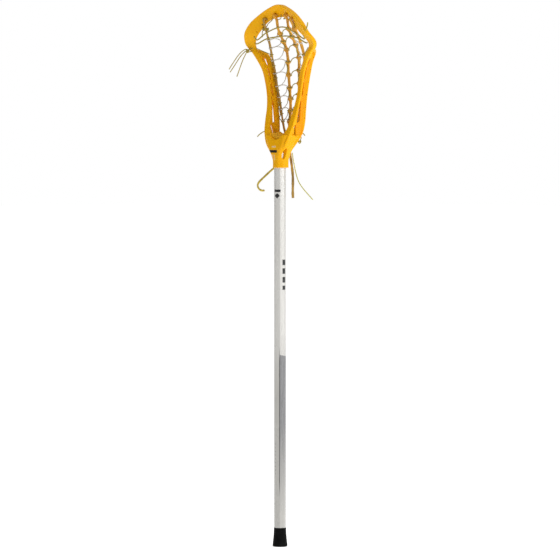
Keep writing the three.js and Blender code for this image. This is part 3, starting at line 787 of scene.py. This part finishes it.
def strap(name, line, half_width, half_depth, waver, seed, hint=(1.0, 0.0, 0.0), knots=()):
    """A leather strap with slightly wavering width, thickness and turn."""
    line = evenly(line, 1.0)
    side, depth = frames_of(line, hint)
    along = np.arange(len(line))
    phase = np.random.default_rng(seed).uniform(0, 2 * math.pi, 6)

    def wave(k, length):
        return np.sin(along * 2 * math.pi / length + phase[k])

    bulge = swell(line[:, 2] - SOCKET_Z, knots)
    wide = half_width * (1 + waver * (wave(0, 23) + 0.6 * wave(1, 9.7))) + bulge
    deep = half_depth * (1 + waver * (wave(2, 17) + 0.7 * wave(3, 7.1))) + bulge * 0.5
    turn = waver * 2.2 * (wave(4, 61) + 0.5 * wave(5, 29))
    rings = []
    for i, place in enumerate(line):
        u = side[i] * math.cos(turn[i]) + depth[i] * math.sin(turn[i])
        v = -side[i] * math.sin(turn[i]) + depth[i] * math.cos(turn[i])
        corners = [place + u * a * wide[i] + v * b * deep[i] for a, b in SQUARE]
        rings.append(rounded(corners, STRAP_ROUNDING, 2))
    return loft(name, rings)


def wrap(rows, side, h, start, turns, rise=1.9, bulge=0.0, slant=0.0):
    """Turns of lace round a thong at a height, as head points. They begin at the angle start from +X."""
    x, y = at_height(rows, h)
    wide = THONG_HALF_WIDTH + LACE_RADIUS * LACE_STAND_OFF + bulge
    deep = THONG_HALF_DEPTH + LACE_RADIUS * LACE_STAND_OFF + bulge * 0.5
    count = max(4, int(abs(turns) * 12))
    out = []
    for i in range(count + 1):
        angle = start + 2 * math.pi * turns * i / count
        u, v = math.cos(angle), math.sin(angle)
        square = (abs(u) ** 3 + abs(v) ** 3) ** (-1 / 3)  # fills the strap's corners more than an ellipse
        out.append((side * x + wide * u * square, y + deep * v * square,
                    h - rise * abs(turns) * (i / count - 0.5) + slant * u))
    return out


def both_sides(half):
    """A symmetric route of head points, from the half that starts at or beside the middle."""
    return [(-x, y, h) for x, y, h in reversed(half) if x] + list(half)


def lace(name, lines, looks, node, radius=LACE_RADIUS, color="yellow"):
    """A length of cord along each of the lines of head points."""
    smoothed = [smooth_line(lift(points), len(points) * 6) for points in lines]
    made = rope(name, smoothed, radius, step=0.6)
    finish_piece(made, BODY, looks[color], node)


def between_thongs(side, share, h):
    """A point between the inner thong (share 0) and the outer one (share 1), at a height."""
    inner, outer = np.array(at_height(INNER_THONG, h)), np.array(at_height(OUTER_THONG, h))
    x, y = inner + (outer - inner) * share
    return np.array((side * x, y, h))


def knot_heights(side):
    """The heights of the knots in an inner thong."""
    return [row + (SWING if side > 0 else 0) for row in KNOT_ROWS]


def side_lane(side, looks):
    """The lacing of a lane beside an inner thong. From each knot the lace runs down to a hook near the outer
    thong, round that thong, back through the hook, and in an arc to the next knot."""
    away = 0.0 if side < 0 else math.pi
    heights = knot_heights(side)
    points = []
    for h, low in zip(heights, heights[1:]):
        hook_h = low + HOOK_RISE
        hook = between_thongs(side, 0.6, hook_h)
        points += wrap(INNER_THONG, side, h, away, 0.5 * -side, 1.4, KNOT_SWELL, 0.35)
        points += [between_thongs(side, 0.3, hook_h + (h - hook_h) * 0.45) + (0, -0.6, 0),
                   hook + (0, -1.1, 0)]
        points += wrap(OUTER_THONG, side, low + 3, away, 1.5 * -side)
        points += [hook + (0, 0.9, -0.6), between_thongs(side, 0.36, low + 5.6),
                   between_thongs(side, 0.16, low + 2.8)]
    points += wrap(INNER_THONG, side, heights[-1], away, 0.5 * -side, 1.4, KNOT_SWELL, 0.35)
    word = SIDE_WORDS[side]
    # The side lanes take the white look, the string's painted-light copy.
    lace(f"crosslace_{word}_lane", [points], looks, f"crosslace_{word}", color="white")


def middle_lane(looks):
    """One arc per row between the inner thongs; between rows the lace runs down beside a thong."""
    def half_turn(side, h, start):
        return wrap(INNER_THONG, side, h, start, 0.5 * side, 2.6, KNOT_SWELL, -0.8)

    points = []
    for k, h in enumerate(KNOT_ROWS):
        ends = [(-1, h), (1, h + SWING)]
        if k % 2:
            ends.reverse()
        (side_a, h_a), (side_b, h_b) = ends
        points += half_turn(side_a, h_a, 0.0 if side_a > 0 else math.pi)
        y = (at_height(INNER_THONG, h_a)[1] + at_height(INNER_THONG, h_b)[1]) / 2
        for t in (0.25, 0.5, 0.75):
            share = t if side_a < 0 else 1 - t
            crown = ARC_RISE * math.sin(math.pi * share ** 0.8)
            points.append((ARC_HALF * (2 * share - 1), y + 0.5, h + SWING * share + crown))
        points += half_turn(side_b, h_b, math.pi if side_b > 0 else 0.0)
        if k + 1 < len(KNOT_ROWS):
            low = knot_heights(side_b)[k + 1]
            for t in (0.35, 0.65):
                x, y = at_height(INNER_THONG, h_b + (low - h_b) * t)
                points.append((side_b * (x + 0.8), y - THONG_HALF_DEPTH - LACE_RADIUS, h_b + (low - h_b) * t))
    # The middle lane takes the yellow look, the string's painted-shade copy.
    lace("crosslace_middle_lane", [points], looks, "crosslace_middle", 1.0)


def sidewall_string(side, looks):
    """The string that ties an outer thong to its rail, through the rail's holes and round the thong."""
    start = 0.0 if side > 0 else math.pi
    points = [(side * 73.5, 6, 241)]
    for k, h in enumerate(RAIL_HOLES):
        points += wrap(OUTER_THONG, side, h + (6 if k == 0 else 9), start, side)
        x, y = at_height(RAIL_PATH, h)
        face = x - RAIL_WIDTH / 2
        points += [(side * (face - 1.2), y - 0.5, h + 1.8), (side * (face + 1.2), y, h),
                   (side * (face - 1.2), y + 0.5, h - 1.8)]
    points += wrap(OUTER_THONG, side, RAIL_HOLES[-1] - 7, start, side)
    word = SIDE_WORDS[side]
    lace(f"sidewall_lacing_{word}", [points], looks, f"sidewall_string_{word}")


def scoop_edge(x):
    """y and h of the scoop's inner edge at a distance from the middle."""
    edge = np.array([inner for _, inner, _ in BAND[:6]], float)
    return np.interp(abs(x), edge[:, 0], edge[:, 1]), np.interp(abs(x), edge[:, 0], edge[:, 2])


TOP_STRING_REACH = 50  # the top string uses the scoop's holes up to this far from the middle


def top_lacing(looks):
    """The top string runs just below the scoop's inner edge and loops up through the scoop's holes. Another
    length of it is wound round the top of the left outer thong, with its end hanging beside it."""
    holes = [hole for hole in SCOOP_HOLES if hole[0] < TOP_STRING_REACH]
    stops = both_sides(holes)
    points = []
    for i, (x, y, h) in enumerate(stops):
        points += [(x, y - 2.0, h - 0.6), (x, y + 1.5, h + 0.3), (x, y + 6.6, h)]
        if i + 1 < len(stops):
            next_x = stops[i + 1][0]
            edge_y, edge_h = scoop_edge(x)
            next_y, next_h = scoop_edge(next_x)
            mid_y, mid_h = scoop_edge((x + next_x) / 2)
            points += [(x * 0.95 + next_x * 0.05, edge_y + 6.0, edge_h - 0.5),
                       (x * 0.8 + next_x * 0.2, edge_y + 2.5, edge_h - 3.2),
                       ((x + next_x) / 2, mid_y + 1.0, mid_h - 3.8),
                       (x * 0.2 + next_x * 0.8, next_y - 0.8, next_h - 2.8),
                       (x * 0.04 + next_x * 0.96, next_y - 2.6, next_h + 0.2)]
    x, y = at_height(OUTER_THONG, TOP_KNOT)
    tie = wrap(OUTER_THONG, -1, TOP_KNOT, 0.0, 2.5, bulge=KNOT_SWELL)
    tie += [(-x - 5.5, y - 3.2, TOP_KNOT - 4), (-x - 6.8, y - 3.0, TOP_KNOT - 9),
            (-x - 6.6, y - 2.6, TOP_KNOT - 16)]
    lace("top_lacing", [points, tie], looks, "top_string", 0.95)


UPPER_STRING = ((0, 5, 283), (15, 4.5, 281), (42, 1, 271), (68, 1, 258), (70.5, -3.5, 265))
LOWER_STRING = ((0, 14, 265), (15, 13, 264), (44, 6.5, 260), (70, 4, 250), (74, 3, 250.5))
# The upper string's right end comes out through the rim
SHOULDER_STUB = ((79, -6, 268), (84, -11.5, 272), (87.5, -14, 276.5), (89.5, -13, 283), (91.5, -13.2, 290))


def shooting_strings(looks):
    for name, half, stubs in (("upper", UPPER_STRING, [SHOULDER_STUB]), ("lower", LOWER_STRING, [])):
        lace(f"shooting_lace_{name}", [both_sides(half), *stubs], looks, f"shooting_string_{name}", 1.4)


BOTTOM_LACE = ((0, 36.8, 66.5), (8, 36.8, 67), (17, 36.2, 66), (27, 31, 62))
LOW_STUBS = (
    ((-27, 31, 62), (-30, 27, 66), (-33, 24, 70)),
    ((27, 31, 62), (30.5, 28, 67), (33.5, 28, 70.5), (37, 30, 68), (39.5, 31.5, 64.5)),
    ((-33, -3, 74), (-38.5, -9, 72.3), (-43, -11, 69.5), (-48, -12.2, 66), (-52, -12.4, 62.5)),
    ((31, 27, 66), (31.5, 28.5, 60), (29.5, 28, 55)),
)


def bottom_lacing(looks):
    lace("bottom_tie", [both_sides(BOTTOM_LACE), *LOW_STUBS], looks, "bottom_lace", 1.1)


def make_thongs(looks):
    for side, word in SIDE_WORDS.items():
        for lane, top, rows, knots, first_seed in (
            ("outer", OUTER_TOP, OUTER_THONG, [TOP_KNOT], 3),
            ("inner", INNER_TOP, INNER_THONG, knot_heights(side), 8),
        ):
            line = smooth_line(lift((*top, *rows), side), 260)
            made = strap(f"thong_{word}_{lane}", line, THONG_HALF_WIDTH, THONG_HALF_DEPTH, waver=0.05,
                         seed=first_seed + side, knots=knots)
            # The left outer thong takes the painted-shade copy of the thong leather, which is darker because
            # that runner lies in shade.
            look = looks["shaded_leather" if (word, lane) == ("left", "outer") else "leather"]
            finish_piece(made, BODY, look, f"runner_{word}_{lane}")


def make_pocket(looks):
    make_thongs(looks)
    for side in (-1, 1):
        side_lane(side, looks)
        sidewall_string(side, looks)
    middle_lane(looks)
    top_lacing(looks)
    shooting_strings(looks)
    bottom_lacing(looks)


# Loose ends

SHOULDER_UPPER = (
    (-91.5, -6, 239.5), (-93.5, -7.4, 238.6), (-95.7, -8.8, 237.2), (-98, -10.2, 235.3), (-100.3, -11.6, 233),
    (-102.6, -12.9, 230.4), (-104.9, -14.1, 227.5), (-107.1, -15.3, 224.4), (-109.3, -16.4, 221.1),
    (-111.5, -17.5, 217.7), (-113.7, -18.6, 214.2), (-115.9, -19.7, 210.6), (-118.1, -20.8, 207),
    (-120.5, -21.9, 203.2), (-123, -23, 199),
)
SHOULDER_MIDDLE = (
    (-92.5, -6, 235.5), (-94.6, -6.7, 233.9), (-96.7, -7.6, 232), (-98.8, -8.6, 229.8), (-100.8, -9.7, 227.3),
    (-102.7, -10.9, 224.5), (-104.6, -12.1, 221.5), (-106.4, -13.3, 218.3), (-108.3, -14.4, 215),
    (-110.2, -15.5, 211.7), (-112.1, -16.6, 208.3), (-114.1, -17.8, 204.8), (-116.2, -19.1, 201.2),
    (-118.5, -20.5, 197.3), (-121, -22, 193),
)
SHOULDER_LOWER = (
    (-91, -6, 231.5), (-92.2, -6.9, 228.4), (-93.5, -7.8, 225.3), (-94.9, -8.6, 222.1), (-96.3, -9.3, 218.8),
    (-97.7, -9.9, 215.5), (-99, -10.5, 212.1), (-100.2, -11.1, 208.7), (-101.4, -11.7, 205.3),
    (-102.5, -12.3, 201.9), (-103.5, -12.9, 198.4), (-104.6, -13.5, 194.9), (-105.7, -14.1, 191.4),
    (-106.8, -14.8, 187.8), (-108, -15.5, 184),
)
RIGHT_LACE = (
    (13, 21.8, 30), (13.7, 22.1, 25), (14.5, 22.5, 19.5), (15.4, 22.9, 14), (16.5, 23.4, 8), (17.6, 24, 1.5),
    (18.8, 24.6, -5), (20.2, 25.3, -11.5), (22, 26, -18), (24.2, 26.9, -24.5), (27.2, 28, -30.8),
    (31.5, 29.3, -37), (37, 30.8, -43.5), (43.5, 32.3, -50.2), (50.5, 33.8, -57), (58, 35, -64),
)
LEFT_THONG = (
    (-11, 21.5, 30), (-12.8, 21.3, 25.2), (-15.2, 20.9, 19.6), (-18.2, 19.9, 13.6), (-22.2, 17.8, 7.6),
    (-27.5, 15, 1.8), (-33.5, 11.9, -3.4), (-38.5, 8.8, -8.5), (-43.5, 6, -13.7), (-48.5, 3.4, -18.8),
    (-53.5, 1.2, -23.6), (-58.5, -0.5, -28.6), (-62.2, -1.2, -34.2), (-62.2, -0.6, -40), (-58.3, 0.8, -44.6),
    (-53, 2.1, -46.4), (-48, 3, -46),
)
RIGHT_THONG = (
    (5.6, 22, 36), (6.1, 22.2, 31.5), (6.7, 22.5, 26.5), (7.4, 22.8, 21.5), (8.2, 23.1, 16), (9, 23.5, 10),
    (9.8, 23.9, 3.5), (10.6, 24.3, -3.5), (11.3, 24.6, -11), (11.8, 24.7, -18.5), (12.1, 24.6, -26),
    (12.2, 24.5, -33.5), (12.1, 24.4, -41), (12, 24.4, -48), (12.1, 24.5, -54.7), (12.4, 24.7, -61),
)
LACE_TAILS = (  # node, radius, look and route
    ("shoulder_tail_upper", 1.0, "yellow", SHOULDER_UPPER),
    ("shoulder_tail_middle", 1.0, "yellow", SHOULDER_MIDDLE),
    ("shoulder_tail_lower", 1.0, "yellow", SHOULDER_LOWER),
    ("right_lace_tail", 1.1, "pale", RIGHT_LACE),
)


def make_tails(looks):
    for name, radius, look, rows in LACE_TAILS:
        line = smooth_line(lift(rows), 60)
        made = rope(f"{name}_cord", [line], radius)
        finish_piece(made, BODY, looks[look], name)
    line = smooth_line(lift(LEFT_THONG), 90)
    made = strap("left_thong_tail_strap", line, half_width=2.0, half_depth=1.3, waver=0.05, seed=21)
    finish_piece(made, BODY, looks["olive_leather"], "left_thong_tail")
    line = smooth_line(lift(RIGHT_THONG), 60)
    made = strap("right_thong_tail_strap", line, half_width=2.6, half_depth=1.1, waver=0.06, seed=22,
                 hint=(0.7, 0.7, 0.0))
    # This tail also takes the painted-shade copy of the thong leather.
    finish_piece(made, BODY, looks["shaded_leather"], "right_thong_tail")


def overhand_knot(name, centre, size, radius, look, node, turn, leads=()):
    """A small overhand knot: a trefoil of lace, open at its two ends, with the strands that lead to it."""
    open_angle, reach = 0.35, 3
    t = np.linspace(open_angle, 2 * math.pi - open_angle, 60)
    line = np.column_stack([
        np.sin(t) + 2 * np.sin(2 * t),
        np.cos(t) - 2 * np.cos(2 * t),
        -1.3 * np.sin(3 * t),
    ])
    line = line / reach * size
    c, s = math.cos(turn), math.sin(turn)
    line = np.column_stack([line[:, 0] * c - line[:, 2] * s, line[:, 0] * s + line[:, 2] * c, line[:, 1]])
    lines = [line + lift(centre)] + [smooth_line(lift(lead), 20) for lead in leads]
    finish_piece(rope(name, lines, radius, step=0.4), BODY, look, node)


SHOULDER_LEADS = (
    ((-78, 7, 243), (-83, 1.5, 240.5), (-87, -3, 238.5), (-91.5, -6, 239.5)),
    ((-76, 7, 238), (-82, 3, 235.5), (-87, -2.5, 234), (-92.5, -6, 235.5)),
    ((-87, -3, 238), (-89.5, -5, 235), (-91, -6, 231.5)),
)


# Shaft, cap, pad and screw

SHAFT_FLATS, SHAFT_BORE, SHAFT_BOTTOM, SHAFT_TOP = 22.2, 19.6, 3.5, SOCKET_Z + 52.5
SHAFT_EDGE = 0.9  # how far the rounding of the octagon's corners reaches


def make_shaft(look):
    """An open tube: up the outside, over the bevelled rim, down the bore and back to where it began."""
    bevel = 0.5
    profile = ((SHAFT_FLATS - bevel, SHAFT_BOTTOM), (SHAFT_FLATS, SHAFT_BOTTOM + bevel),
               (SHAFT_FLATS, SHAFT_TOP - bevel), (SHAFT_FLATS - bevel, SHAFT_TOP),
               (SHAFT_BORE, SHAFT_TOP), (SHAFT_BORE, SHAFT_BOTTOM), (SHAFT_FLATS - bevel, SHAFT_BOTTOM))
    rings = [octagon(flats, z, SHAFT_EDGE, 4) for flats, z in profile]
    faces = ring_faces(len(rings), len(rings[0]))[:-2]
    made = make_object("shaft_octagon", np.concatenate(rings), faces)
    weld(made)
    outward(made)
    combine(made, rod("screw_hole", (0, 4, SCREW_H), (0, 24, SCREW_H), SCREW_HOLE))
    finish_piece(made, BODY, look, "shaft_tube")
    sharpen(made, 18)


def weld(made):
    """Joins points that lie in the same place."""
    shell = bmesh.new()
    shell.from_mesh(made.data)
    bmesh.ops.remove_doubles(shell, verts=shell.verts, dist=1e-6)
    shell.to_mesh(made.data)
    shell.free()


def sharpen(made, degrees):
    """Smooth shading that breaks at edges sharper than the angle."""
    with bpy.context.temp_override(object=made, active_object=made, selected_editable_objects=[made]):
        made.data.set_sharp_from_angle(angle=math.radians(degrees))


CAP_PROFILE = (  # width across the flats, height, corner radius
    (26.2, 0.0, 2.6), (27.4, 0.2, 2.8), (28.4, 0.7, 3), (28.8, 1.6, 3), (28.8, 3.6, 3), (28.5, 5.2, 3),
    (27.6, 9, 2.8), (26.2, 15, 2.4), (25.2, 20, 2.2), (24.5, 25, 2.1), (24, 30, 2), (23.75, 35.5, 2),
    (23.6, 37.2, 2), (23.3, 37.8, 2), (23.0, 38.0, 2),
)
CAP_BORE = ((22.7, 37.9, 1.8), (22.6, 37.0, 1.8), (22.6, 3.2, 1.8))


def make_cap(look):
    """A flared rubber cup: up its outside, over the lip and down into its bore."""
    rings = [octagon(flats, z, corner, 5) for flats, z, corner in (*CAP_PROFILE, *CAP_BORE)]
    made = loft("butt_cap_rubber", rings)
    finish_piece(made, CAP, look, "butt_cap")
    sharpen(made, 40)


def make_pad(look):
    """A crowned foam pad that lies on the ball stop's curve."""
    front, back, half, lift_off, thick = -8, 19, 17, 0.5, 4.5
    round_off, rim = 1.6, 0.35  # the rounded edge's width, and the share of the thickness that it starts at
    across, deep = 36, 24

    def floor_at(x, y):
        t = (y - STOP_FACE[0]) / (STOP_BACK[0] - STOP_FACE[0])
        width = STOP_FACE[1] + t * (STOP_BACK[1] - STOP_FACE[1])
        drop = STOP_FACE[2] + t * (STOP_BACK[2] - STOP_FACE[2])
        return STOP_CENTRE - drop * math.sqrt(1 - (x / width) ** 2)

    rings = []
    for i in range(across + 1):
        x = half * (2 * i / across - 1)
        edge = min(1, (half - abs(x)) / round_off)
        soft = math.sqrt(max(0, 1 - (1 - edge) ** 2))
        ring = []
        for j in range(deep + 1):
            y = front + (back - front) * j / deep
            fall = min(1, min(y - front, back - y) / round_off)
            crown = math.sqrt(max(0, 1 - (1 - fall) ** 2)) * soft
            ring.append((x, y, floor_at(x, y) + lift_off + thick * (rim + (1 - rim) * crown)))
        for j in range(deep, -1, -1):
            y = front + (back - front) * j / deep
            ring.append((x, y, floor_at(x, y) + lift_off))
        rings.append(lift(ring))
    made = loft("ball_stop_foam", rings)
    finish_piece(made, BODY, look, "ball_stop_pad")


SCREW_TOP_Y = 17.9
SCREW_PROFILE = (  # radius, and y from the head's top
    (0.05, -10.5), (1.4, -10.1), (2.0, -9.4), (2.0, -2.6), (4.0, -0.5), (4.0, -0.2), (3.7, 0.0), (0.05, 0.0),
)
RECESS_HALF_LENGTH, RECESS_HALF_WIDTH, RECESS_Y = 2.3, 0.5, (16.4, 19)


def make_screw(look):
    """A countersunk screw with a cross recess in its head."""
    rings, sides = [], 32
    angle = np.arange(sides) * 2 * math.pi / sides
    for radius, y in SCREW_PROFILE:
        rings.append(lift(np.column_stack([radius * np.cos(angle), np.full(sides, SCREW_TOP_Y + y),
                                           SCREW_H + radius * np.sin(angle)])))
    made = loft("head_screw_cross", rings)
    for half_x, half_h in ((RECESS_HALF_WIDTH, RECESS_HALF_LENGTH), (RECESS_HALF_LENGTH, RECESS_HALF_WIDTH)):
        slot = [lift([(a * half_x, y, SCREW_H + b * half_h) for a, b in SQUARE]) for y in RECESS_Y]
        combine(made, loft("recess", slot))
    finish_piece(made, BODY, look, "head_screw")
    sharpen(made, 30)


def main():
    make_camera()
    looks = {
        "nylon": nylon_look(),
        "leather": leather_look("thong_leather", (0.50, 0.21, 0.010), (0.78, 0.40, 0.025)),
        # A darker copy of the thong leather, as painted shade.
        "shaded_leather": leather_look("thong_leather_painted_shade", (0.22, 0.12, 0.02), (0.56, 0.33, 0.05)),
        "pale": lace_look("lace_pale", (0.42, 0.38, 0.06), (0.72, 0.68, 0.18)),
        "olive_leather": leather_look("thong_leather_olive", (0.36, 0.25, 0.02), (0.66, 0.49, 0.06)),
        # One yellowish string drawn as two copies: the yellow look is its olive, painted-shade copy, and the
        # white look is its pale, painted-light copy.
        "yellow": lace_look("lace_yellow", (0.27, 0.20, 0.012), (0.52, 0.40, 0.03)),
        "white": lace_look("lace_white", (0.5, 0.48, 0.42), (0.82, 0.80, 0.74)),
    }
    make_tails(looks)
    make_head(looks["nylon"])
    make_pocket(looks)
    make_shaft(paint_look())
    make_cap(rubber_look())
    make_pad(foam_look())
    make_screw(steel_look())
    overhand_knot("shoulder_knot", (-88.6, -3.8, 236), 3.6, 1.0, looks["yellow"], "shoulder_knot_left", 0.5,
                  SHOULDER_LEADS)
    overhand_knot("low_knot", (28.5, 27.2, 52), 3.2, 1.1, looks["yellow"], "low_knot_right", 0.8)
    make_stage()
    bpy.context.scene.view_settings.view_transform = "Standard"


main()
